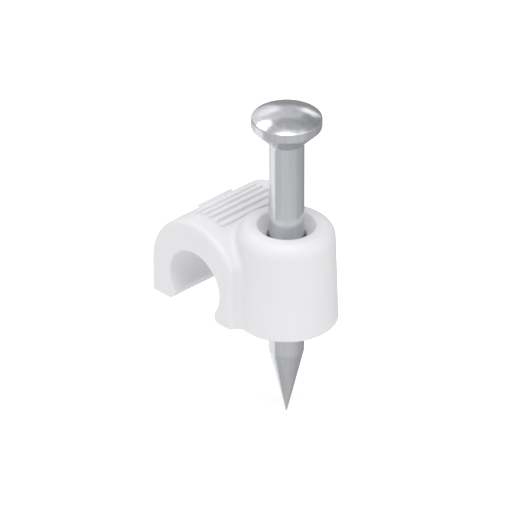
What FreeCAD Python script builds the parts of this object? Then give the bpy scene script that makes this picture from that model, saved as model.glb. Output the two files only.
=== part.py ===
import FreeCAD, Part
import math
import os

import Sketcher

# Nail-in cable clip: a one-piece moulded clip that arches over a round cable,
# and the hardened nail that hangs in its boss, ready to be driven.
#
# Frame, in millimetres: the nail stands along +Z and the wall face of the clip
# lies on Z = 0. The cable runs along Y, in a seat on the -X side of the nail.
# The origin is where the nail's axis passes through the wall face.

# Driving sizes, each with the words that go beside it in the sheet
SIZES = {
    "seat_radius": (2.0, "radius of the seat, that of the cable"),
    "nail_gap": (1.93, "nail axis to the near side of the cable seat"),
    "lip_height": (0.575, "height of the upright wall of each lip"),
    "lip_catch": (0.4, "how far each lip reaches in under the cable"),
    "boss_lip_round": (0.3, "rounding of the lip beside the boss, at the wall face"),
    "leg_lip_round": (0.55, "rounding of the leg's lip, which leads the cable in"),
    "crown_rise": (0.3, "centre of the crown's arc above the seat's axis"),
    "crown_wall": (1.53, "radius of the crown's outer arc less that of the seat"),
    "saddle_width": (6.86, "length of the saddle along the cable"),
    "saddle_setback": (0.92, "nail axis to the end of the saddle beside the boss"),
    "saddle_end_round": (0.9, "turn from the crown down to that end"),
    "saddle_edge_round": (0.33, "rounding of the saddle's outer edges"),
    "boss_height": (6.0, "top of the boss above the wall face"),
    "boss_radius": (2.92, "radius of the boss at the wall face"),
    "boss_draft": (1.75, "taper of the boss on each side, in degrees"),
    "boss_edge_round": (0.8, "rounding of the boss's top edge"),
    "boss_blend": (0.5, "hollow blend between the boss and the saddle"),
    "funnel_radius": (1.69, "radius of the funnel at the top of the boss"),
    "funnel_depth": (0.8, "depth of the funnel, down to the nail bore"),
    "bore_clearance": (0.01, "gap between the nail and its bore, all round"),
    "rib_count": (5, "ribs of the grip on the crown"),
    "rib_pitch": (0.475, "spacing of the ribs, measured round the crown"),
    "rib_width": (0.24, "width of one rib"),
    "rib_rise": (0.2, "height of a rib above the crown"),
    "rib_root": (0.3, "depth of a rib's root inside the crown"),
    "rib_length": (4.6, "length of a rib along the cable"),
    "short_rib_offset": (1.9, "from the top of the crown round to the short rib"),
    "short_rib_length": (2.6, "length of the short rib along the cable"),
    "nail_diameter": (2.0, "diameter of the nail's shank"),
    "nail_reach": (6.24, "length of nail below the wall face, as supplied"),
    "point_length": (4.1, "length of the tapered point"),
    "shank_length": (17.62, "from the tip to the underside cone of the head"),
    "head_diameter": (4.0, "diameter of the nail's head"),
    "head_cone": (1.02, "height of the cone under the head"),
    "head_band": (0.52, "height of the straight band round the head"),
    "head_dome": (0.56, "rise of the domed top of the head"),
    "head_edge_round": (0.12, "rounding of the two edges of the band"),
}

# Sizes that follow from those above, each a formula with the words beside it
FOLLOWING_SIZES = {
    "seat_offset": ("=nail_gap + seat_radius", "nail axis to the axis of the seat"),
    "half_mouth": ("=seat_radius - lip_catch", "half the gap between the two lips"),
    "seat_height": (
        "=lip_height + sqrt(seat_radius ^ 2 - half_mouth ^ 2)",
        "axis of the seat above the wall face",
    ),
    "crown_radius": ("=seat_radius + crown_wall", "radius of the crown's outer arc"),
    "lip_round_limit": ("=0.96 * lip_height", "most that the wall of a lip can take"),
}

FULL_TURN = math.degrees(2 * math.pi)
DEGREES_PER_RADIAN = "180 / pi"
CUT_OVERRUN = 1.0
TOUCHING = 1e-4
START, END, CENTRE = range(1, 4)
HORIZONTAL_AXIS, VERTICAL_AXIS = range(-1, -3, -1)
ORIGIN_POINT = (HORIZONTAL_AXIS, START)
STATION_STEPS = 4
MIDDLE = STATION_STEPS // 2

doc = FreeCAD.newDocument("nail_in_cable_clip")


def size(name):
    """A size as the sheet has it."""
    return float(doc.Sizes.get(name))


def write_sheet():
    """Puts every size in the sheet, with an alias and a few words."""
    sheet = doc.addObject("Spreadsheet::Sheet", "Sizes")
    every_size = {**SIZES, **FOLLOWING_SIZES}
    for row, (name, (value, words)) in enumerate(every_size.items(), start=1):
        sheet.set(f"A{row}", name)
        sheet.set(f"B{row}", str(value))
        sheet.set(f"C{row}", words)
        sheet.setAlias(f"B{row}", name)
    doc.recompute()


def origin_plane(body, role):
    """One of the body's own origin planes, found by its role."""
    return next(f for f in body.Origin.OriginFeatures if f.Role == role)


def new_sketch(body, name, role="XZ_Plane"):
    """An empty sketch on an origin plane: on XZ its x is X and its y is Z."""
    sketch = body.newObject("Sketcher::SketchObject", name)
    sketch.AttachmentSupport = (origin_plane(body, role), [""])
    sketch.MapMode = "FlatFace"
    return sketch


def add_line(sketch, start, end):
    segment = Part.LineSegment(FreeCAD.Vector(*start, 0), FreeCAD.Vector(*end, 0))
    return sketch.addGeometry(segment, False)


def add_arc(sketch, centre, radius, from_degrees, to_degrees):
    """An arc that runs anticlockwise from one direction to the other."""
    circle = Part.Circle(FreeCAD.Vector(*centre, 0), FreeCAD.Vector(0, 0, 1), radius)
    arc = Part.ArcOfCircle(circle, math.radians(from_degrees), math.radians(to_degrees))
    return sketch.addGeometry(arc, False)


def chain(sketch, links):
    """Ties edges to each other or to an axis, by the kind of tie each link names."""
    for kind, first, second in links:
        sketch.addConstraint(Sketcher.Constraint(kind, *first, *second))


def close_up(sketch, edges):
    """Joins the end of each edge to the start of the next, the last to the first."""
    following = edges[1:] + edges[:1]
    chain(
        sketch,
        [("Coincident", (a, END), (b, START)) for a, b in zip(edges, following)],
    )


def add_loop(sketch, corners):
    """Straight lines from corner to corner, joined into a closed loop."""
    following = corners[1:] + corners[:1]
    lines = [add_line(sketch, a, b) for a, b in zip(corners, following)]
    close_up(sketch, lines)
    return lines


def drive(sketch, kind, name, formula, *places):
    """Adds a named dimension to the sketch and ties it to the sheet."""
    flat = [number for place in places for number in place]
    current = doc.Sizes.evalExpression(formula)
    index = sketch.addConstraint(Sketcher.Constraint(kind, *flat, float(current)))
    sketch.renameConstraint(index, name)
    sketch.setExpression(f"Constraints.{name}", formula)


def hold(sketch, kind, name, value, *places):
    """Adds a named dimension that isn't one of the driving sizes."""
    flat = [number for place in places for number in place]
    index = sketch.addConstraint(Sketcher.Constraint(kind, *flat, value))
    sketch.renameConstraint(index, name)


def edge_names(shape, wanted):
    """Names of the edges of a shape that a test picks."""
    return [
        f"Edge{number}"
        for number, edge in enumerate(shape.Edges, start=1)
        if wanted(edge)
    ]


def stations(edge):
    """Points at even steps along an edge, from its start to its end."""
    step = (edge.LastParameter - edge.FirstParameter) / STATION_STEPS
    return [
        edge.valueAt(edge.FirstParameter + step * number)
        for number in range(STATION_STEPS + 1)
    ]


def saddle_profile(body):
    """The saddle seen along the cable: a leg, a round crown and a turned-down end."""
    crown_x = -size("seat_offset")
    crown_z = size("seat_height") + size("crown_rise")
    leg_x = crown_x - size("crown_radius")
    end_x = -size("saddle_setback")
    turn = size("saddle_end_round")
    reach = size("crown_radius") - turn
    meet = math.acos((end_x - turn - crown_x) / reach)
    turn_centre = (end_x - turn, crown_z + reach * math.sin(meet))

    sketch = new_sketch(body, "saddle_profile")
    sole = add_line(sketch, (leg_x, 0), (end_x, 0))
    back = add_line(sketch, (end_x, 0), (end_x, turn_centre[1]))
    shoulder = add_arc(sketch, turn_centre, turn, 0, math.degrees(meet))
    crown = add_arc(
        sketch, (crown_x, crown_z), size("crown_radius"), math.degrees(meet), 180
    )
    leg = add_line(sketch, (leg_x, crown_z), (leg_x, 0))
    chain(
        sketch,
        [
            ("Coincident", (sole, END), (back, START)),
            ("Tangent", (back, END), (shoulder, START)),
            ("Tangent", (shoulder, END), (crown, START)),
            ("Tangent", (crown, END), (leg, START)),
            ("Coincident", (leg, END), (sole, START)),
            ("PointOnObject", (sole, START), (HORIZONTAL_AXIS,)),
            ("Horizontal", (sole,), ()),
            ("Vertical", (back,), ()),
            ("Vertical", (leg,), ()),
        ],
    )
    centre = (crown, CENTRE)
    rise = "Sizes.seat_height + Sizes.crown_rise"
    drive(sketch, "DistanceX", "offset", "Sizes.seat_offset", centre, ORIGIN_POINT)
    drive(sketch, "DistanceY", "height", rise, ORIGIN_POINT, centre)
    drive(sketch, "Radius", "crown", "Sizes.crown_radius", (crown,))
    drive(sketch, "Radius", "turn", "Sizes.saddle_end_round", (shoulder,))
    drive(
        sketch, "DistanceX", "setback", "Sizes.saddle_setback", (sole, END), ORIGIN_POINT
    )
    return sketch


def seat_profile(body):
    """What is cut away for the cable: a round seat, open below through a mouth."""
    seat_x = -size("seat_offset")
    seat_z = size("seat_height")
    half_mouth = size("half_mouth")
    lip_angle = math.acos(half_mouth / size("seat_radius"))
    lip_z = size("lip_height")
    turn = math.degrees(lip_angle)
    far_x = seat_x - half_mouth
    near_x = seat_x + half_mouth

    sketch = new_sketch(body, "seat_profile")
    arch = add_arc(sketch, (seat_x, seat_z), size("seat_radius"), -turn, 180 + turn)
    far_lip = add_line(sketch, (far_x, lip_z), (far_x, -CUT_OVERRUN))
    below = add_line(sketch, (far_x, -CUT_OVERRUN), (near_x, -CUT_OVERRUN))
    near_lip = add_line(sketch, (near_x, -CUT_OVERRUN), (near_x, lip_z))
    centre = (arch, CENTRE)
    chain(
        sketch,
        [
            ("Coincident", (arch, END), (far_lip, START)),
            ("Coincident", (far_lip, END), (below, START)),
            ("Coincident", (below, END), (near_lip, START)),
            ("Coincident", (near_lip, END), (arch, START)),
            ("Vertical", (far_lip,), ()),
            ("Horizontal", (below,), ()),
            ("Vertical", (near_lip,), ()),
        ],
    )
    half = "Sizes.half_mouth"
    drive(sketch, "DistanceX", "offset", "Sizes.seat_offset", centre, ORIGIN_POINT)
    drive(sketch, "DistanceY", "height", "Sizes.seat_height", ORIGIN_POINT, centre)
    drive(sketch, "Radius", "seat", "Sizes.seat_radius", (arch,))
    drive(sketch, "DistanceX", "far_side", half, (far_lip, START), centre)
    drive(sketch, "DistanceX", "near_side", half, centre, (near_lip, END))
    hold(sketch, "DistanceY", "overrun", CUT_OVERRUN, (below, START), ORIGIN_POINT)
    return sketch


def pad_both_ways(body, name, sketch, length):
    """Raises a sketch by half of a length to each side of its plane."""
    pad = body.newObject("PartDesign::Pad", name)
    pad.Profile = sketch
    pad.SideType = "Symmetric"
    pad.setExpression("Length", length)
    doc.recompute()
    return pad


def cut_both_ways(body, name, sketch, base):
    """Cuts a sketch right through the body, to both sides of its plane."""
    pocket = body.newObject("PartDesign::Pocket", name)
    pocket.Profile = sketch
    pocket.SideType = "Symmetric"
    pocket.Type = "ThroughAll"
    doc.recompute()
    assert pocket.Shape.Volume < base.Shape.Volume, f"{name} cuts nothing"
    return pocket


def round_edges(body, name, base, wanted, radius):
    """Rounds the edges of a feature that a test picks."""
    fillet = body.newObject("PartDesign::Fillet", name)
    fillet.Base = (base, edge_names(base.Shape, wanted))
    fillet.setExpression("Radius", radius)
    doc.recompute()
    return fillet


def on_end_rim(edge):
    """An edge of the saddle's two end faces, apart from those on the wall face."""
    points = stations(edge)
    half_width = size("saddle_width") / 2
    on_end_face = all(abs(abs(point.y) - half_width) < TOUCHING for point in points)
    return on_end_face and points[MIDDLE].z > TOUCHING


def on_lip(edge, lip_x):
    """The edge where the lip at one side of the mouth meets the wall face."""
    return all(
        abs(point.x - lip_x) < TOUCHING and abs(point.z) < TOUCHING
        for point in stations(edge)
    )


def on_boss_lip(edge):
    return on_lip(edge, -size("seat_offset") + size("half_mouth"))


def on_leg_lip(edge):
    return on_lip(edge, -size("seat_offset") - size("half_mouth"))


def boss_profile(body):
    """Half the boss in section: a drafted side with a rounded top edge."""
    draft = math.radians(size("boss_draft"))
    bend = size("boss_edge_round")
    height = size("boss_height")
    bend_z = height - bend
    bend_x = size("boss_radius") - bend / math.cos(draft) - bend_z * math.tan(draft)
    side_end = (
        bend_x + bend * math.cos(draft),
        bend_z + bend * math.sin(draft),
    )

    sketch = new_sketch(body, "boss_profile")
    floor = add_line(sketch, (0, 0), (size("boss_radius"), 0))
    side = add_line(sketch, (size("boss_radius"), 0), side_end)
    edge = add_arc(sketch, (bend_x, bend_z), bend, size("boss_draft"), 90)
    roof = add_line(sketch, (bend_x, height), (0, height))
    axis = add_line(sketch, (0, height), (0, 0))
    chain(
        sketch,
        [
            ("Coincident", (floor, END), (side, START)),
            ("Tangent", (side, END), (edge, START)),
            ("Tangent", (edge, END), (roof, START)),
            ("Coincident", (roof, END), (axis, START)),
            ("Coincident", (axis, END), (floor, START)),
            ("Coincident", (axis, END), ORIGIN_POINT),
            ("Horizontal", (floor,), ()),
            ("Horizontal", (roof,), ()),
            ("Vertical", (axis,), ()),
        ],
    )
    drive(sketch, "DistanceX", "radius", "Sizes.boss_radius", (floor, START), (floor, END))
    drive(sketch, "DistanceY", "height", "Sizes.boss_height", (axis, END), (axis, START))
    drive(sketch, "Radius", "bend", "Sizes.boss_edge_round", (edge,))
    drive(
        sketch,
        "Angle",
        "draft",
        "90 + Sizes.boss_draft",
        (HORIZONTAL_AXIS, START),
        (side, START),
    )
    return sketch


def turn_profile(body, kind, name, sketch):
    """Turns a half section through a full turn about the upright axis."""
    turned = body.newObject(f"PartDesign::{kind}", name)
    turned.Profile = sketch
    turned.ReferenceAxis = (sketch, ["V_Axis"])
    turned.Angle = FULL_TURN
    doc.recompute()
    return turned


def hole_profile(body):
    """Half the nail hole in section: a funnel that leads down into the bore."""
    bore = size("nail_diameter") / 2 + size("bore_clearance")
    throat = size("boss_height") - size("funnel_depth")
    top = size("boss_height") + CUT_OVERRUN
    mouth = size("funnel_radius")

    sketch = new_sketch(body, "hole_profile")
    corners = [
        (0, -CUT_OVERRUN),
        (bore, -CUT_OVERRUN),
        (bore, throat),
        (mouth, size("boss_height")),
        (mouth, top),
        (0, top),
    ]
    under, bore_wall, cone, above, lid, axis = add_loop(sketch, corners)
    chain(
        sketch,
        [
            ("Horizontal", (under,), ()),
            ("Horizontal", (lid,), ()),
            ("Vertical", (bore_wall,), ()),
            ("Vertical", (above,), ()),
            ("PointOnObject", (axis, START), (VERTICAL_AXIS,)),
            ("PointOnObject", (axis, END), (VERTICAL_AXIS,)),
        ],
    )
    bore_formula = "Sizes.nail_diameter / 2 + Sizes.bore_clearance"
    drive(sketch, "DistanceX", "bore", bore_formula, (under, START), (under, END))
    drive(sketch, "DistanceX", "mouth", "Sizes.funnel_radius", (lid, END), (lid, START))
    drive(sketch, "DistanceY", "depth", "Sizes.funnel_depth", (cone, START), (cone, END))
    drive(sketch, "DistanceY", "top", "Sizes.boss_height", ORIGIN_POINT, (cone, END))
    over = CUT_OVERRUN
    hold(sketch, "DistanceY", "overrun_below", over, (under, END), ORIGIN_POINT)
    hold(sketch, "DistanceY", "overrun_above", over, (above, START), (above, END))
    return sketch


def rib_profile(body, name, arc):
    """One rib in section, swung about the crown's centre by an arc, +ve to the leg."""
    half_width = size("rib_width") / 2
    low = size("crown_radius") - size("rib_root")
    high = size("crown_radius") + size("rib_rise")

    sketch = new_sketch(body, name)
    rise = "Sizes.seat_height + Sizes.crown_rise"
    swing = f"{arc} / Sizes.crown_radius * {DEGREES_PER_RADIAN}"
    sketch.setExpression(".AttachmentOffset.Base.x", "-Sizes.seat_offset")
    sketch.setExpression(".AttachmentOffset.Base.y", rise)
    sketch.setExpression(".AttachmentOffset.Rotation.Angle", swing)
    corners = [
        (-half_width, low),
        (half_width, low),
        (half_width, high),
        (-half_width, high),
    ]
    root, right, crest, left = add_loop(sketch, corners)
    chain(
        sketch,
        [
            ("Symmetric", (crest, START), (crest, END, VERTICAL_AXIS)),
            ("Horizontal", (root,), ()),
            ("Vertical", (right,), ()),
            ("Vertical", (left,), ()),
        ],
    )
    drive(sketch, "DistanceX", "width", "Sizes.rib_width", (root, START), (root, END))
    low_formula = "Sizes.crown_radius - Sizes.rib_root"
    drive(sketch, "DistanceY", "root", low_formula, ORIGIN_POINT, (root, START))
    high_formula = "Sizes.rib_root + Sizes.rib_rise"
    drive(sketch, "DistanceY", "crest", high_formula, (right, START), (right, END))
    return sketch


def make_grip(body):
    """Raises the grip on the crown: a fan of equal ribs, and a shorter one apart."""
    first_arc = "-(Sizes.rib_count - 1) / 2 * Sizes.rib_pitch"
    sketch = rib_profile(body, "rib_profile", first_arc)
    rib = pad_both_ways(body, "rib", sketch, "Sizes.rib_length")
    fan = body.newObject("PartDesign::PolarPattern", "rib_fan")
    fan.Originals = [rib]
    fan.Axis = (sketch, ["N_Axis"])
    fan.Mode = "Spacing"
    step = f"Sizes.rib_pitch / Sizes.crown_radius * {DEGREES_PER_RADIAN}"
    fan.setExpression("Offset", step)
    fan.setExpression("Occurrences", "Sizes.rib_count")
    body.Tip = fan
    doc.recompute()
    short_sketch = rib_profile(body, "short_rib_profile", "Sizes.short_rib_offset")
    short_rib = pad_both_ways(body, "short_rib", short_sketch, "Sizes.short_rib_length")
    assert short_rib.Shape.Volume > fan.Shape.Volume, "the short rib adds nothing"


def make_clip_body():
    """The moulded clip: saddle, boss and their blend, then the cuts and the grip."""
    body = doc.addObject("PartDesign::Body", "clip_body")
    body.Label = "clip_body"
    width = "Sizes.saddle_width"
    saddle = pad_both_ways(body, "saddle", saddle_profile(body), width)
    edge_radius = "Sizes.saddle_edge_round"
    rounded = round_edges(body, "saddle_edges", saddle, on_end_rim, edge_radius)
    saddle_skin = rounded.Shape.Shells[0]
    boss = turn_profile(body, "Revolution", "boss", boss_profile(body))

    def in_the_corner(edge):
        """Where the side or the rounded top of the boss rises out of the saddle."""
        points = stations(edge)
        return points[MIDDLE].z > TOUCHING and all(
            math.hypot(point.x, point.y) < size("boss_radius") + TOUCHING
            and Part.Vertex(point).distToShape(saddle_skin)[0] < TOUCHING
            for point in points
        )

    blend = round_edges(body, "boss_blend", boss, in_the_corner, "Sizes.boss_blend")
    seat = cut_both_ways(body, "cable_seat", seat_profile(body), blend)
    boss_lip_radius = "min(Sizes.boss_lip_round; Sizes.lip_round_limit)"
    leg_lip_radius = "min(Sizes.leg_lip_round; Sizes.lip_round_limit)"
    lip = round_edges(body, "boss_lip", seat, on_boss_lip, boss_lip_radius)
    lips = round_edges(body, "leg_lip", lip, on_leg_lip, leg_lip_radius)
    hole = turn_profile(body, "Groove", "nail_hole", hole_profile(body))
    assert hole.Shape.Volume < lips.Shape.Volume, "the nail hole cuts nothing"
    make_grip(body)
    return body


def nail_profile(body):
    """Half the nail in section, from its point up to the dome of its head."""
    shank = size("nail_diameter") / 2
    head = size("head_diameter") / 2
    neck = size("shank_length")
    band = neck + size("head_cone")
    brim = band + size("head_band")
    crest = brim + size("head_dome")
    dome = (head**2 + size("head_dome") ** 2) / (2 * size("head_dome"))
    brim_angle = math.degrees(math.acos(head / dome))

    sketch = new_sketch(body, "nail_profile")
    corners = [
        (0, 0),
        (shank, size("point_length")),
        (shank, neck),
        (head, band),
        (head, brim),
    ]
    lines = [add_line(sketch, start, end) for start, end in zip(corners, corners[1:])]
    point, side, cone, rim = lines
    top = add_arc(sketch, (0, crest - dome), dome, brim_angle, 90)
    axis = add_line(sketch, (0, crest), (0, 0))
    close_up(sketch, [point, side, cone, rim, top, axis])
    chain(
        sketch,
        [
            ("Coincident", (axis, END), ORIGIN_POINT),
            ("PointOnObject", (axis, START), (VERTICAL_AXIS,)),
            ("PointOnObject", (top, CENTRE), (VERTICAL_AXIS,)),
            ("Vertical", (side,), ()),
            ("Vertical", (rim,), ()),
        ],
    )
    shank_formula = "Sizes.nail_diameter / 2"
    head_formula = "Sizes.head_diameter / 2"
    drive(sketch, "DistanceX", "shank", shank_formula, ORIGIN_POINT, (side, START))
    drive(sketch, "DistanceX", "head", head_formula, ORIGIN_POINT, (rim, START))
    drive(sketch, "DistanceY", "point", "Sizes.point_length", ORIGIN_POINT, (side, START))
    drive(sketch, "DistanceY", "neck", "Sizes.shank_length", ORIGIN_POINT, (side, END))
    drive(sketch, "DistanceY", "cone", "Sizes.head_cone", (cone, START), (cone, END))
    drive(sketch, "DistanceY", "band", "Sizes.head_band", (rim, START), (rim, END))
    drive(sketch, "DistanceY", "dome", "Sizes.head_dome", (rim, END), (top, END))
    return sketch


def on_band_edge(edge):
    """One of the two circles that bound the band round the head."""
    middle = edge.valueAt((edge.FirstParameter + edge.LastParameter) / 2)
    radius = math.hypot(middle.x, middle.y)
    on_rim = abs(radius - size("head_diameter") / 2) < TOUCHING
    return on_rim and len(edge.Vertexes) == 1


def make_nail():
    """The nail, turned about its own axis from the tip up, then hung in the boss."""
    body = doc.addObject("PartDesign::Body", "nail")
    body.Label = "nail"
    turned = turn_profile(body, "Revolution", "nail_turned", nail_profile(body))
    round_edges(body, "head_edges", turned, on_band_edge, "Sizes.head_edge_round")
    body.setExpression(".Placement.Base.z", "-Sizes.nail_reach")
    doc.recompute()
    return body


def check(bodies):
    """Stops before anything is written if a feature failed or a solid is bad."""
    for item in doc.Objects:
        state = " ".join(item.State)
        assert "Invalid" not in state, f"{item.Name} is invalid"
        assert "Error" not in state, f"{item.Name} has an error"
    for body in bodies:
        shape = body.Shape
        assert not shape.isNull(), f"{body.Label} is empty"
        assert shape.isValid(), f"{body.Label} is not valid"
        assert len(shape.Solids) == 1, f"{body.Label} is {len(shape.Solids)} solids"


write_sheet()
bodies = [make_clip_body(), make_nail()]
doc.recompute()
check(bodies)
os.makedirs("parts", exist_ok=True)
for body in bodies:
    body.Shape.exportStep(os.path.join("parts", f"{body.Label}.step"))
    box = body.Shape.BoundBox
    print(
        f"{body.Label}: {body.Shape.Volume:.2f} mm3, "
        f"X {box.XMin:.2f} to {box.XMax:.2f}, Y {box.YMin:.2f} to {box.YMax:.2f}, "
        f"Z {box.ZMin:.2f} to {box.ZMax:.2f}"
    )
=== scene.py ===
# %% [markdown]
# # A nail-in cable clip
#
# The object is small: a white moulded clip, 10 mm long, that arches over a cable, and a bright
# steel nail that hangs in its boss, ready to be driven. This lesson dresses the exact CAD model
# of it: each cell makes one piece or one finish, says how it is done, and prints what it made.
#
# The frame is loaded first. Its two nodes, the clip and the nail, are already in the right place, so
# everything that is made here is built in their places and never moved.

import math

import bpy
import numpy as np
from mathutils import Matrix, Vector


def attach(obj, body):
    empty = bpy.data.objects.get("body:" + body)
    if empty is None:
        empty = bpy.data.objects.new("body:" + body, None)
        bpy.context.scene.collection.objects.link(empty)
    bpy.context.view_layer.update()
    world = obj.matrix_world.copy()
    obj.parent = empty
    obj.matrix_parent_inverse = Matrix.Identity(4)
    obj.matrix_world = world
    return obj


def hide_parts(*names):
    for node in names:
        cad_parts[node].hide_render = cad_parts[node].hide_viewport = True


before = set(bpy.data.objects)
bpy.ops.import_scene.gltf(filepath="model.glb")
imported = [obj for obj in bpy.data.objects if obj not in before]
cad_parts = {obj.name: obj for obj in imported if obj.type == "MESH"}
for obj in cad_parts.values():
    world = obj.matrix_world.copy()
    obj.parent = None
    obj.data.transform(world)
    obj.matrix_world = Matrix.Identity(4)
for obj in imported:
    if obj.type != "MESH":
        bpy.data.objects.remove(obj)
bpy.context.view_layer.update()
MM = 0.001

# %% [markdown]
# ## The camera
#
# The photograph was taken from far away, so the long edges of the clip stay parallel in it. A
# long lens at a long distance gives that look. Its direction is an azimuth round the clip and an
# elevation above it. The place that the lens points at is worked out from where the nail's foot
# stands in the picture, so the camera needs no shift.

# %% Camera
IMAGE_PX = 510
PX_PER_MM = 17.8
AZIMUTH = math.radians(46.2)
ELEVATION = math.radians(31.15)
FOOT_RIGHT_PX = 31.5
FOOT_DOWN_PX = 60.5
DISTANCE = 0.8
SENSOR_MM = 36.0

back = Vector(
    (
        math.sin(AZIMUTH) * math.cos(ELEVATION),
        -math.cos(AZIMUTH) * math.cos(ELEVATION),
        math.sin(ELEVATION),
    )
)
right = Vector((math.cos(AZIMUTH), math.sin(AZIMUTH), 0.0))
up = back.cross(right)
target = (up * FOOT_DOWN_PX - right * FOOT_RIGHT_PX) / PX_PER_MM * MM
lens = bpy.data.cameras.new("photo_lens")
lens.sensor_width = SENSOR_MM
lens.lens = PX_PER_MM / MM * DISTANCE * SENSOR_MM / IMAGE_PX
lens.clip_start, lens.clip_end = DISTANCE / 100, DISTANCE * 10
camera = bpy.data.objects.new("photo_camera", lens)
camera.location = target + back * DISTANCE
camera.rotation_mode = "QUATERNION"
camera.rotation_quaternion = (-back).to_track_quat("-Z", "Y")
bpy.context.scene.collection.objects.link(camera)
bpy.context.scene.camera = camera
bpy.context.scene.view_settings.view_transform = "Standard"
print(f"camera: lens {lens.lens:.0f} mm, looking at", [round(c / MM, 2) for c in target])

# %% [markdown]
# ## The clip as a distance field
#
# The clip is one moulding with soft edges everywhere: a saddle and a round boss that flow into
# each other, with a seat, a mouth and a funnel cut into them. Booleans and a bevel could make it,
# but a bevel often breaks where a curved corner meets a cut. A distance field is calmer. It is a
# function that says how far any point is from the surface, negative inside. Two shapes are joined
# by taking the smaller distance and cut by taking the larger one, and both can be done with a
# radius, which is how the fillets of the mould come out.
#
# All its sizes are those of the CAD model, in millimetres: the nail stands on the Z axis, the
# wall is at Z = 0 and the cable runs along Y. One thing is added here: towards the funnel the
# bore opens by up to 0.1 mm, as a moulded bore does, because the pin that leaves it free has to
# be pulled out. It is what the eye sees as a dark line beside the nail.

# %% Sizes of the clip
SEAT_X, SEAT_Z, SEAT_R = -3.93, 1.775, 2.0
HALF_MOUTH = 1.6
LEG_LIP_ROUND, BOSS_LIP_ROUND = 0.55, 0.3
CROWN_Z, CROWN_R = 2.075, 3.53
HALF_WIDTH = 3.43
SADDLE_END_X, SADDLE_END_ROUND = -0.92, 0.9
SADDLE_EDGE_ROUND = 0.33
BOSS_R, BOSS_H, BOSS_DRAFT = 2.92, 6.0, math.radians(1.75)
BOSS_EDGE_ROUND = 0.8
BLEND = 0.5
BORE_R, FUNNEL_R, FUNNEL_DEPTH = 1.01, 1.69, 0.8
BORE_TAPER, TAPER_Z = 0.05, 3.2
SOFT_EDGE = 0.06
print("seat across, mm:", 2 * SEAT_R, "boss height, mm:", BOSS_H)


# %% Joining and cutting with a radius
def join(a, b, radius):
    """The union of two fields, with a hollow fillet where they meet."""
    reach = np.hypot(np.maximum(radius - a, 0), np.maximum(radius - b, 0))
    return np.maximum(radius, np.minimum(a, b)) - reach


def keep_both(a, b, radius):
    """What lies inside two fields at once, with a rounded edge where they meet."""
    reach = np.hypot(np.maximum(a + radius, 0), np.maximum(b + radius, 0))
    return np.minimum(-radius, np.maximum(a, b)) + reach


# %% [markdown]
# The saddle's outline is a leg, a round crown and a small turn down beside the boss. The turn is
# a circle of its own that touches both the crown and the end wall, so the field is measured from
# that circle's centre wherever the circle is the nearest part of the outline.


# %% The field of the whole clip
def saddle_field(x, y, z):
    """The arch over the cable, with rounded rims on its two end faces."""
    crown = np.hypot(x - SEAT_X, z - CROWN_Z) - CROWN_R
    leg = SEAT_X - CROWN_R - x
    wall = x - SADDLE_END_X
    outline = np.maximum(np.where(z > CROWN_Z, crown, leg), wall)
    turn_x = SADDLE_END_X - SADDLE_END_ROUND
    reach = CROWN_R - SADDLE_END_ROUND
    turn_z = CROWN_Z + math.sqrt(reach**2 - (turn_x - SEAT_X) ** 2)
    u, w = x - turn_x, z - turn_z
    beyond_wall_side = w > 0
    before_crown_side = u * (turn_z - CROWN_Z) > w * (turn_x - SEAT_X)
    on_turn = beyond_wall_side & before_crown_side
    outline = np.where(on_turn, np.hypot(u, w) - SADDLE_END_ROUND, outline)
    return keep_both(outline, np.abs(y) - HALF_WIDTH, SADDLE_EDGE_ROUND)


def boss_field(r, z):
    """The round boss, which narrows upwards by its draft."""
    side = (r - BOSS_R) * math.cos(BOSS_DRAFT) + z * math.sin(BOSS_DRAFT)
    return keep_both(side, z - BOSS_H, BOSS_EDGE_ROUND)


def cable_space(x, z):
    """The round seat of the cable and the straight mouth below it."""
    seat = np.hypot(x - SEAT_X, z - SEAT_Z) - SEAT_R
    mouth = np.maximum(np.abs(x - SEAT_X) - HALF_MOUTH, z - SEAT_Z)
    return seat, mouth


def nail_space(r, z):
    """The bore, its opening towards the top and the funnel over it."""
    slope = math.atan2(FUNNEL_R - BORE_R, FUNNEL_DEPTH)
    rise = z - (BOSS_H - FUNNEL_DEPTH)
    funnel = (r - BORE_R) * math.cos(slope) - rise * math.sin(slope)
    drawn = r - BORE_R - BORE_TAPER * (z - TAPER_Z)
    return np.minimum(np.minimum(r - BORE_R, drawn), funnel)


def clip_field(p):
    """Distance in mm from each point to the skin of the clip, negative inside."""
    x, y, z = p[..., 0], p[..., 1], p[..., 2]
    r = np.hypot(x, y)
    solid = join(saddle_field(x, y, z), boss_field(r, z), BLEND)
    seat, mouth = cable_space(x, z)
    solid = keep_both(solid, -seat, SOFT_EDGE)
    lip = np.where(x < SEAT_X, LEG_LIP_ROUND, BOSS_LIP_ROUND)
    solid = keep_both(solid, keep_both(-mouth, -z, lip), SOFT_EDGE)
    return keep_both(solid, -nail_space(r, z), SOFT_EDGE)


seat_centre = np.array([SEAT_X, 0.0, SEAT_Z])
print("from the seat's centre to the plastic, mm:", round(float(clip_field(seat_centre)), 3))


# %% [markdown]
# ## From the field to a mesh
#
# The field is sampled on a fine grid. Every grid cell that the surface passes through gets one
# vertex, and every grid edge that crosses the surface gets one quad between the four cells round
# it. The vertices are then slid along the field's slope until the distance is zero, so curved
# walls come out smooth and not stepped. Even quads like these also take the light evenly.


# %% The grid and its cells
def grid_points(low, high, step):
    """The corners of all grid cells between two far corners."""
    axes = [np.arange(a, b + step, step) for a, b in zip(low, high)]
    return np.stack(np.meshgrid(*axes, indexing="ij"), axis=-1)


def shifted(a, axis):
    """Two views of an array: every entry but the last along an axis, and the next ones."""
    first, second = [slice(None)] * 3, [slice(None)] * 3
    first[axis], second[axis] = slice(None, -1), slice(1, None)
    return a[tuple(first)], a[tuple(second)]


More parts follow.
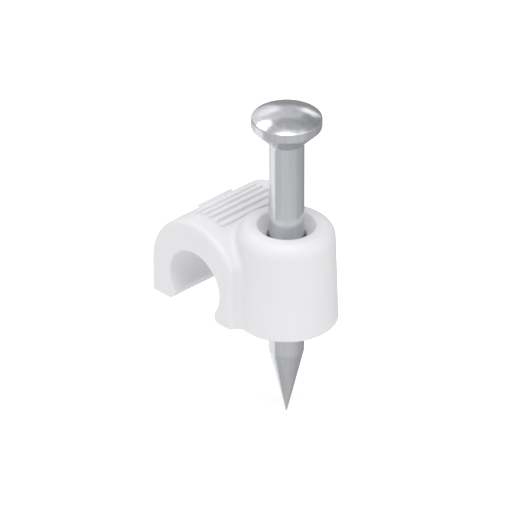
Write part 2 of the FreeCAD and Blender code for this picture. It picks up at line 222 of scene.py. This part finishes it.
def surface_cells(inside):
    """The cells of the grid that hold both inside and outside corners."""
    some, every = inside, inside
    for axis in range(3):
        a, b = shifted(some, axis)
        c, d = shifted(every, axis)
        some, every = a | b, c & d
    return some & ~every


# %% Quads and smooth points
def net_quads(inside, number):
    """One quad round each grid edge that crosses the surface, facing outwards."""
    quads = []
    for axis in range(3):
        a, b = shifted(inside, axis)
        for crossing, leaves in ((a & ~b, True), (~a & b, False)):
            i = np.argwhere(crossing)
            one, two = np.eye(3, dtype=int)[(axis + 1) % 3], np.eye(3, dtype=int)[(axis + 2) % 3]
            ring = [i, i - one, i - one - two, i - two]
            quad = np.stack([number[tuple(c.T)] for c in ring], axis=1)
            quads.append(quad if leaves else quad[:, ::-1])
    return np.concatenate(quads)


def settle(points, field, rounds=4, reach=0.002, least_slope=0.5):
    """Slides points down the slope of a field until they lie on its zero."""
    for _ in range(rounds):
        here = field(points)
        nudge = np.eye(3) * reach
        slope = np.stack([field(points + n) - field(points - n) for n in nudge], axis=1)
        slope /= 2 * reach
        steep = np.maximum((slope**2).sum(axis=1), least_slope**2)
        points = points - slope * (here / steep)[:, None]
    return points


def mesh_of(field, low, high, step):
    """The points and quads of the surface where a field is zero."""
    grid = grid_points(low, high, step)
    inside = field(grid) < 0
    cells = surface_cells(inside)
    number = np.full(cells.shape, -1)
    number[cells] = np.arange(cells.sum())
    corner = np.argwhere(cells)
    points = np.asarray(low) + (corner + 0.5) * step
    return settle(points, field), net_quads(inside, number).tolist()


# %% From points and faces to a piece
def piece_from(name, points_mm, faces):
    """A smooth-shaded mesh object from points in millimetres, placed by its mesh."""
    mesh = bpy.data.meshes.new(name)
    mesh.from_pydata((np.asarray(points_mm) * MM).tolist(), [], faces)
    mesh.validate()
    mesh.shade_smooth()
    piece = bpy.data.objects.new(name, mesh)
    bpy.context.scene.collection.objects.link(piece)
    return piece


# %% The moulded clip
CLIP_GRID = 0.07
MARGIN = 0.2
clip_low = (SEAT_X - CROWN_R - MARGIN, -HALF_WIDTH - MARGIN, -MARGIN)
clip_high = (BOSS_R + MARGIN, HALF_WIDTH + MARGIN, BOSS_H + MARGIN)
clip_points, clip_quads = mesh_of(clip_field, clip_low, clip_high, CLIP_GRID)
clip = piece_from("clip_moulding", clip_points, clip_quads)
print(f"clip_moulding: {len(clip_points)} points, {len(clip_quads)} quads")
print("its box, mm:", clip_points.min(axis=0).round(3), clip_points.max(axis=0).round(3))

# %% [markdown]
# ## A helper for node trees
#
# Materials and Geometry Nodes are built from nodes in the same way: make the node, set its
# options, then give each input either a value or the output that feeds it. One small function
# does all three.


# %% Adding a node
def add_node(tree, kind, inputs=None, **options):
    """A new node, with a value or another node's output on each input that is given."""
    made = tree.nodes.new(kind)
    for key, value in options.items():
        setattr(made, key, value)
    for key, value in (inputs or {}).items():
        if isinstance(value, bpy.types.NodeSocket):
            tree.links.new(value, made.inputs[key])
        else:
            made.inputs[key].default_value = value
    return made


# %% Colours, pattern sizes and materials
def from_hex(code):
    """A screen colour such as "E6E6E7" as the linear colour that a shader expects."""
    parts = [int(code[i : i + 2], 16) / 255 for i in (0, 2, 4)]
    linear = [c / 12.92 if c <= 0.04045 else ((c + 0.055) / 1.055) ** 2.4 for c in parts]
    return (*linear, 1.0)


WHITE = from_hex("FFFFFF")


def per_metre(size_mm):
    """The scale of a pattern whose spots are that many millimetres apart."""
    return 1 / (size_mm * MM)


def new_material(name):
    """A material with a Principled shader, and that shader's tree."""
    material = bpy.data.materials.new(name)
    material.use_nodes = True
    tree = material.node_tree
    tree.nodes.clear()
    shader = add_node(tree, "ShaderNodeBsdfPrincipled")
    add_node(tree, "ShaderNodeOutputMaterial", {"Surface": shader.outputs["BSDF"]})
    return material, tree, shader


# %% [markdown]
# ## White moulded plastic
#
# Clips like this are moulded in polyethylene or polypropylene. The eye reads it as plastic by
# three things: light sinks in a little, so edges and thin walls glow softly. The highlight is
# broad, because the steel of the mould was only satin. And the skin is never perfectly even, so
# a faint cloudiness and a fine grain break up the highlight. The real grain is about 0.02 mm,
# too fine to show, so it is drawn eight times coarser.

# %% Plastic
CLOUD_MM, GRAIN_MM = 3.8, 0.16
GRAIN_HIGH_MM, GLOW_DEEP_MM = 0.02, 0.2

plastic, tree, shader = new_material("polypropylene_white")
where = add_node(tree, "ShaderNodeTexCoord").outputs["Object"]
cloud = add_node(
    tree, "ShaderNodeTexNoise", {"Vector": where, "Scale": per_metre(CLOUD_MM), "Detail": 2.0}
)
tone = add_node(
    tree,
    "ShaderNodeMix",
    {"Factor": cloud.outputs["Fac"], "A": from_hex("DEDEE0"), "B": from_hex("E3E3E5")},
    data_type="RGBA",
)
grain = add_node(
    tree, "ShaderNodeTexNoise", {"Vector": where, "Scale": per_metre(GRAIN_MM), "Detail": 1.0}
)
bump = add_node(
    tree,
    "ShaderNodeBump",
    {"Height": grain.outputs["Fac"], "Strength": 0.12, "Distance": GRAIN_HIGH_MM * MM},
)
tree.links.new(tone.outputs["Result"], shader.inputs["Base Color"])
tree.links.new(bump.outputs["Normal"], shader.inputs["Normal"])
shader.inputs["Roughness"].default_value = 0.42
shader.inputs["Subsurface Weight"].default_value = 0.12
shader.inputs["Subsurface Radius"].default_value = (1.0, 0.95, 0.9)
shader.inputs["Subsurface Scale"].default_value = GLOW_DEEP_MM * MM
clip.data.materials.append(plastic)
print("plastic:", plastic.name)

# %% [markdown]
# ## The grip ribs
#
# Raised ribs cross the crown, five long ones and a shorter one lower on the cable side. They are
# all the same bar repeated at an even pitch round the crown, which is just what Geometry Nodes
# is for. First one bar is made as a small closed mesh: a stack of rounded rectangles that is
# wide at the root, where the mould has a fillet, and draws in at the rounded top.

# %% One rib
RIB_WIDTH, RIB_RISE, RIB_ROOT = 0.24, 0.2, 0.3
RIB_FILLET, RIB_TOP_ROUND, RIB_CORNER = 0.07, 0.08, 0.11
RIB_SUNK = 0.01
ARC_STEPS = 6
CORNERS = [(1, 1), (-1, 1), (-1, -1), (1, -1)]


def rib_outline(length, grow):
    """A rounded rectangle in plan, grown outwards by a few hundredths of a millimetre."""
    points = []
    reach = RIB_CORNER + grow
    for corner, (sx, sy) in enumerate(CORNERS):
        cx, cy = sx * (RIB_WIDTH / 2 - RIB_CORNER), sy * (length / 2 - RIB_CORNER)
        for i in range(ARC_STEPS + 1):
            a = math.pi / 2 * (corner + i / ARC_STEPS)
            points.append((cx + reach * math.cos(a), cy + reach * math.sin(a)))
    return points


def rib_piece(name, length):
    """One closed bar along Y whose zero height is the crown's surface."""
    turn = [math.pi / 2 * i / ARC_STEPS for i in range(ARC_STEPS + 1)]
    stack = [(RIB_FILLET, -RIB_ROOT)]
    stack += [
        (RIB_FILLET * (1 - math.sin(a)), RIB_FILLET * (1 - math.cos(a)) - RIB_SUNK) for a in turn
    ]
    stack += [
        (RIB_TOP_ROUND * (math.cos(a) - 1), RIB_RISE - RIB_TOP_ROUND * (1 - math.sin(a)))
        for a in turn
    ]
    points, faces = [], []
    for grow, height in stack:
        points += [(x, y, height) for x, y in rib_outline(length, grow)]
    n = len(points) // len(stack)
    for ring in range(len(stack) - 1):
        for i in range(n):
            a, b = ring * n + i, ring * n + (i + 1) % n
            faces.append((a, b, b + n, a + n))
    faces.append(tuple(reversed(range(n))))
    faces.append(tuple(range(len(points) - n, len(points))))
    return piece_from(name, points, faces)


# %% [markdown]
# The tree below puts copies of a bar on points round the crown. It knows only sizes: how many,
# how far apart along the arc, where the first one stands and the crown's centre and radius. So
# the same tree serves the long ribs and the short one.

# %% Inputs of the tree
rows = bpy.data.node_groups.new("ribs_round_a_crown", "GeometryNodeTree")
RIB_INPUTS = {
    "Rib": "NodeSocketObject",
    "Count": "NodeSocketInt",
    "Pitch": "NodeSocketFloat",
    "First": "NodeSocketFloat",
    "Radius": "NodeSocketFloat",
    "Centre": "NodeSocketVector",
    "Material": "NodeSocketMaterial",
}
rib_socket = {
    name: rows.interface.new_socket(name=name, in_out="INPUT", socket_type=kind).identifier
    for name, kind in RIB_INPUTS.items()
}
rows.interface.new_socket(name="Geometry", in_out="OUTPUT", socket_type="NodeSocketGeometry")
print("inputs:", list(rib_socket))

# %% Where each rib stands and how it leans
given = add_node(rows, "NodeGroupInput").outputs
index = add_node(rows, "GeometryNodeInputIndex").outputs["Index"]
arc = add_node(
    rows,
    "ShaderNodeMath",
    {0: index, 1: given["Pitch"], 2: given["First"]},
    operation="MULTIPLY_ADD",
).outputs[0]
angle = add_node(rows, "ShaderNodeMath", {0: arc, 1: given["Radius"]}, operation="DIVIDE").outputs[0]
across = add_node(rows, "ShaderNodeMath", {0: angle}, operation="SINE").outputs[0]
upward = add_node(rows, "ShaderNodeMath", {0: angle}, operation="COSINE").outputs[0]
spoke = add_node(rows, "ShaderNodeCombineXYZ", {"X": across, "Z": upward}).outputs[0]
place = add_node(
    rows,
    "ShaderNodeVectorMath",
    {0: spoke, 1: given["Radius"], 2: given["Centre"]},
    operation="MULTIPLY_ADD",
).outputs[0]
turned = add_node(rows, "ShaderNodeCombineXYZ", {"Y": angle}).outputs[0]
lean = add_node(rows, "FunctionNodeEulerToRotation", {"Euler": turned}).outputs[0]
print("place and lean:", len(rows.nodes), "nodes so far")

# %% Copies of the bar
spots = add_node(rows, "GeometryNodePoints", {"Count": given["Count"], "Position": place})
bar = add_node(rows, "GeometryNodeObjectInfo", {"Object": given["Rib"]}).outputs["Geometry"]
copies = add_node(
    rows,
    "GeometryNodeInstanceOnPoints",
    {"Points": spots.outputs[0], "Instance": bar, "Rotation": lean},
).outputs[0]
real = add_node(rows, "GeometryNodeRealizeInstances", {"Geometry": copies}).outputs[0]
painted = add_node(
    rows, "GeometryNodeSetMaterial", {"Geometry": real, "Material": given["Material"]}
).outputs[0]
add_node(rows, "NodeGroupOutput", {"Geometry": painted})
print("tree:", rows.name, "with", len(rows.nodes), "nodes")


# %% The long ribs and the short one
RIB_PITCH = 0.475
RIB_ROWS = {
    "ribs_long": {"length": 4.6, "count": 5, "first": -0.95},
    "rib_short": {"length": 2.6, "count": 1, "first": -1.9},
}


def ribs_on_crown(name, length, count, first):
    """Runs the tree for one kind of rib and keeps the result as a plain mesh."""
    bar = rib_piece(name + "_bar", length)
    piece = bpy.data.objects.new(name, bpy.data.meshes.new(name + "_empty"))
    bpy.context.scene.collection.objects.link(piece)
    modifier = piece.modifiers.new("rows", "NODES")
    modifier.node_group = rows
    values = {
        "Rib": bar,
        "Count": count,
        "Pitch": RIB_PITCH * MM,
        "First": first * MM,
        "Radius": CROWN_R * MM,
        "Centre": (SEAT_X * MM, 0.0, CROWN_Z * MM),
        "Material": plastic,
    }
    for key, value in values.items():
        modifier[rib_socket[key]] = value
    graph = bpy.context.evaluated_depsgraph_get()
    mesh = bpy.data.meshes.new_from_object(piece.evaluated_get(graph))
    piece.modifiers.remove(modifier)
    piece.data = mesh
    bpy.data.objects.remove(bar)
    return piece


ribs = [ribs_on_crown(name, **facts) for name, facts in RIB_ROWS.items()]
print("ribs:", {r.name: len(r.data.polygons) for r in ribs})

# %% [markdown]
# ## The nail
#
# A hardened nail is a turned shape: a long point, a plain shank, a cone that widens to the
# head, a narrow band and a low dome. Half of its outline is spun round the axis. Each corner
# gets a small arc, since no plated edge is sharp, and a ring right beside the arc, which
# keeps the smooth shading of the small arc from spreading over the long faces next to it.

# %% Sizes of the nail
TIP_Z, POINT_END_Z, NECK_Z = -6.24, -2.14, 11.38
SHANK_R, HEAD_R = 1.0, 2.0
BAND_LOW_Z, BAND_TOP_Z, CROWN_TOP_Z = 12.40, 12.92, 13.48
TIP_R = 0.03
TIP_ROUND, POINT_ROUND, NECK_ROUND = 0.01, 0.4, 0.15
BAND_LOW_ROUND, BAND_TOP_ROUND = 0.12, 0.1
print("nail length, mm:", round(CROWN_TOP_Z - TIP_Z, 2))

# %% Corners as small arcs
RINGS_PER_ARC = 7
BESIDE_ARC = 0.015


def rounded(path):
    """Replaces each corner (r, z, radius) of a path by an arc with a ring on both sides."""
    out = [Vector(path[0][:2])]
    for before, here, after in zip(path, path[1:], path[2:]):
        corner, radius = Vector(here[:2]), here[2]
        if not radius:
            out.append(corner)
            continue
        a = (Vector(before[:2]) - corner).normalized()
        b = (Vector(after[:2]) - corner).normalized()
        half = a.angle(b) / 2
        reach = radius / math.tan(half)
        centre = corner + (a + b).normalized() * radius / math.sin(half)
        start, end = corner + a * reach, corner + b * reach
        out.append(start + a * BESIDE_ARC)
        first, last = start - centre, end - centre
        turn = first.angle(last)
        for i in range(RINGS_PER_ARC + 1):
            t = turn * i / RINGS_PER_ARC
            spoke = (first * math.sin(turn - t) + last * math.sin(t)) / math.sin(turn)
            out.append(centre + spoke)
        out.append(end + b * BESIDE_ARC)
    out.append(Vector(path[-1][:2]))
    return out


# %% Outline of the nail
DOME_STEPS = 14

dome_rise = CROWN_TOP_Z - BAND_TOP_Z
dome_r = (HEAD_R**2 + dome_rise**2) / (2 * dome_rise)
dome_edge = math.asin(HEAD_R / dome_r)
dome = []
for i in range(1, DOME_STEPS + 1):
    a = dome_edge * (1 - i / DOME_STEPS)
    dome.append((dome_r * math.sin(a), CROWN_TOP_Z - dome_r * (1 - math.cos(a)), 0))
nail_path = [
    (0.0, TIP_Z, 0),
    (TIP_R, TIP_Z + TIP_R / 2, TIP_ROUND),
    (SHANK_R, POINT_END_Z, POINT_ROUND),
    (SHANK_R, NECK_Z, NECK_ROUND),
    (HEAD_R, BAND_LOW_Z, BAND_LOW_ROUND),
    (HEAD_R, BAND_TOP_Z, BAND_TOP_ROUND),
    *dome,
]
nail_outline = rounded(nail_path)
print("nail outline:", len(nail_outline), "points")


# %% Spinning the nail
NAIL_SIDES = 96


def spun(name, outline, sides):
    """A closed mesh from an outline that starts and ends on the axis."""
    points = [(0.0, 0.0, outline[0].y)]
    for p in outline[1:-1]:
        for i in range(sides):
            a = 2 * math.pi * i / sides
            points.append((p.x * math.cos(a), p.x * math.sin(a), p.y))
    points.append((0.0, 0.0, outline[-1].y))
    last = len(points) - 1
    faces = []
    for i in range(sides):
        j = (i + 1) % sides
        faces.append((0, 1 + j, 1 + i))
        for k in range(len(outline) - 3):
            low, high = 1 + k * sides, 1 + (k + 1) * sides
            faces.append((low + i, low + j, high + j, high + i))
        high = last - sides
        faces.append((high + i, high + j, last))
    return piece_from(name, points, faces)


nail = spun("hardened_nail", nail_outline, NAIL_SIDES)
print("hardened_nail:", len(nail.data.polygons), "faces")

# %% [markdown]
# ## Bright zinc-plated steel
#
# The nail is hardened steel with a thin zinc plating. It mirrors its surroundings, but softly:
# the plating follows the fine draw lines that run along the wire, and its clear passivation
# shifts the grey a little from greenish blue to violet. The real draw lines are a few
# hundredths of a millimetre apart, so they are drawn coarser here to be seen at all. They fade
# out at the neck, because the head is struck in a die that leaves it smooth.

# %% Lines along the wire
def drawn_out(tree, where, wide_mm, long_mm, detail):
    """Noise that is drawn out along the wire, as the die leaves it."""
    wide, long = per_metre(wide_mm), per_metre(long_mm)
    stretch = {"Vector": where, "Scale": (wide, wide, long)}
    along = add_node(tree, "ShaderNodeMapping", stretch).outputs[0]
    return add_node(
        tree, "ShaderNodeTexNoise", {"Vector": along, "Scale": 1.0, "Detail": detail}
    ).outputs["Fac"]


# %% The tone of the steel
PATCH_MM = 5.5
STREAK_WIDE_MM, STREAK_LONG_MM = 0.38, 14.0

steel, tree, shader = new_material("zinc_plated_steel")
where = add_node(tree, "ShaderNodeTexCoord").outputs["Object"]
patch = add_node(
    tree, "ShaderNodeTexNoise", {"Vector": where, "Scale": per_metre(PATCH_MM), "Detail": 2.0}
)
hue = add_node(
    tree,
    "ShaderNodeMix",
    {"Factor": patch.outputs["Fac"], "A": from_hex("D3D8D9"), "B": from_hex("D5D3DA")},
    data_type="RGBA",
)
streaks = drawn_out(tree, where, STREAK_WIDE_MM, STREAK_LONG_MM, 4.0)
shade = add_node(
    tree,
    "ShaderNodeMapRange",
    {"Value": streaks, "From Min": 0.3, "From Max": 0.7, "To Min": 0.92, "To Max": 1.06},
)
streaked = add_node(
    tree,
    "ShaderNodeVectorMath",
    {0: hue.outputs["Result"], "Scale": shade.outputs["Result"]},
    operation="SCALE",
)
tree.links.new(streaked.outputs["Vector"], shader.inputs["Base Color"])
print("steel: patches of", PATCH_MM, "mm, streaks of", STREAK_WIDE_MM, "mm")

# %% The draw lines and the sheen
LINE_WIDE_MM, LINE_LONG_MM, LINE_DEEP_MM = 0.19, 6.0, 0.01
FADE_MM = 0.4

lines = drawn_out(tree, where, LINE_WIDE_MM, LINE_LONG_MM, 3.0)
rough = add_node(tree, "ShaderNodeMapRange", {"Value": lines, "To Min": 0.15, "To Max": 0.27})
height = add_node(tree, "ShaderNodeSeparateXYZ", {"Vector": where}).outputs["Z"]
drawn = add_node(
    tree,
    "ShaderNodeMapRange",
    {
        "Value": height,
        "From Min": (NECK_Z - FADE_MM) * MM,
        "From Max": NECK_Z * MM,
        "To Min": 0.15,
        "To Max": 0.03,
    },
).outputs["Result"]
scratch = add_node(
    tree,
    "ShaderNodeBump",
    {"Height": lines, "Strength": drawn, "Distance": LINE_DEEP_MM * MM},
)
tree.links.new(rough.outputs["Result"], shader.inputs["Roughness"])
tree.links.new(scratch.outputs["Normal"], shader.inputs["Normal"])
shader.inputs["Metallic"].default_value = 1.0
nail.data.materials.append(steel)
print("steel:", steel.name)

# %% [markdown]
# ## Telling the frame what each piece is
#
# Every piece rides on the one body of the frame and stands in for a node of the CAD model, which is
# hidden.

# %% Riding and stand-ins
PIECES = [
    (clip, "clip_plastic", "clip_body"),
    (ribs[0], "clip_plastic", "clip_body"),
    (ribs[1], "clip_plastic", "clip_body"),
    (nail, "nail_steel", "nail"),
]
for piece, slot, node in PIECES:
    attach(piece, "root")
    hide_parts(node)
print("pieces:", [piece.name for piece, _, _ in PIECES])

# %% [markdown]
# ## Floor and light
#
# The clip is photographed on a plain white ground without a hard shadow, as on a light table.
# The floor is pale, wide and glows a little of its own, and a little more to the camera, which
# washes the last of the shadow out. It is left out of mirrored rays, so the nail mirrors the
# grey room below it and not a white sheet. Large area lights round the clip model its faces.
# Two small ones stand on the left below the level of the floor, where only mirrored rays reach
# them, and they draw the bright line along the nail's shank and its point.

# %% Floor
FLOOR_HALF, FLOOR_GAP_MM = 1.5, 0.01
FLOOR_GLOW, FLOOR_GLOW_SEEN = 0.07, 0.3
floor_z = (TIP_Z - FLOOR_GAP_MM) * MM
floor_mesh = bpy.data.meshes.new("floor")
floor_mesh.from_pydata(
    [(x * FLOOR_HALF, y * FLOOR_HALF, floor_z) for x, y in CORNERS], [], [(0, 1, 2, 3)]
)
floor = bpy.data.objects.new("floor", floor_mesh)
bpy.context.scene.collection.objects.link(floor)
pale, tree, shader = new_material("pale_floor")
shader.inputs["Base Color"].default_value = WHITE
shader.inputs["Roughness"].default_value = 0.9
shader.inputs["Emission Color"].default_value = WHITE
glow = add_node(
    tree,
    "ShaderNodeMix",
    {
        "Factor": add_node(tree, "ShaderNodeLightPath").outputs["Is Camera Ray"],
        "A": FLOOR_GLOW,
        "B": FLOOR_GLOW_SEEN,
    },
    data_type="FLOAT",
)
tree.links.new(glow.outputs["Result"], shader.inputs["Emission Strength"])
floor_mesh.materials.append(pale)
floor.visible_glossy = False
print("floor at", round(floor_z / MM, 2), "mm")


# %% Lights
def soft_light(name, azimuth, elevation, distance, size, watts):
    """A square area light that looks at the clip from a direction in degrees."""
    light = bpy.data.lights.new(name, "AREA")
    light.shape, light.size, light.energy = "SQUARE", size, watts
    a, e = math.radians(azimuth), math.radians(elevation)
    way = Vector((math.sin(a) * math.cos(e), -math.cos(a) * math.cos(e), math.sin(e)))
    lamp = bpy.data.objects.new(name, light)
    lamp.rotation_mode = "QUATERNION"
    lamp.location = target + way * distance
    lamp.rotation_quaternion = way.to_track_quat("Z", "Y")
    bpy.context.scene.collection.objects.link(lamp)


# Each lamp: azimuth and elevation in degrees, distance and size in metres, watts.
LAMPS = {
    "key": (40, 74, 0.25, 0.13, 0.245),
    "left": (-108, 20, 0.25, 0.16, 0.04),
    "right": (105, 55, 0.25, 0.2, 0.08),
    "high_left": (-84, 50, 0.25, 0.07, 0.065),
    "behind": (-155, 24, 0.25, 0.06, 0.013),
    "above_behind": (-130, 38, 0.25, 0.18, 0.034),
    "low_left": (-58, -31, 0.1, 0.075, 0.0115),
    "low_edge": (-100, -40, 0.1, 0.05, 0.0055),
}
for name, facts in LAMPS.items():
    soft_light(name, *facts)

# %% [markdown]
# The room itself gives the rest of the light. It is a little brighter in front and above than
# behind, and brighter on the boss's side than on the leg's. An even room would make a polished
# nail look flat. High up behind, one part of the room is dimmer still: the dome of the nail
# mirrors it on its right. The camera itself sees plain white where the floor ends, so that the
# ground of the picture stays white from every side.

# %% The slope of the room's light
ROOM_LIGHT = 0.59
ROOM_SLOPE = Vector((0.15, -0.16, 0.06))

world = bpy.data.worlds.new("studio")
world.use_nodes = True
tree = world.node_tree
sky = tree.nodes["Background"]
direction = add_node(tree, "ShaderNodeTexCoord").outputs["Generated"]
slope = add_node(
    tree, "ShaderNodeVectorMath", {0: direction, 1: ROOM_SLOPE}, operation="DOT_PRODUCT"
)
light = add_node(tree, "ShaderNodeMath", {0: slope.outputs["Value"], 1: ROOM_LIGHT})
print("room light", ROOM_LIGHT, "sloping by", [round(c, 2) for c in ROOM_SLOPE])

# %% The dimmer part and what the camera sees
DIM_SIDE = Vector((-0.1, 0.75, 0.65)).normalized()
DIM_POWER, DIM_BY = 4.0, 0.13
GROUND_SEEN = 1.0

toward = add_node(
    tree, "ShaderNodeVectorMath", {0: direction, 1: DIM_SIDE}, operation="DOT_PRODUCT"
)
ahead = add_node(tree, "ShaderNodeMath", {0: toward.outputs["Value"], 1: 0.0}, operation="MAXIMUM")
lobe = add_node(tree, "ShaderNodeMath", {0: ahead.outputs[0], 1: DIM_POWER}, operation="POWER")
dimmed = add_node(
    tree,
    "ShaderNodeMath",
    {0: lobe.outputs[0], 1: -DIM_BY, 2: light.outputs[0]},
    operation="MULTIPLY_ADD",
)
seen = add_node(
    tree,
    "ShaderNodeMix",
    {
        "Factor": add_node(tree, "ShaderNodeLightPath").outputs["Is Camera Ray"],
        "A": dimmed.outputs[0],
        "B": GROUND_SEEN,
    },
    data_type="FLOAT",
)
tree.links.new(seen.outputs["Result"], sky.inputs["Strength"])
sky.inputs["Color"].default_value = WHITE
bpy.context.scene.world = world
print("dimmer by up to", DIM_BY, "towards", [round(c, 2) for c in DIM_SIDE])
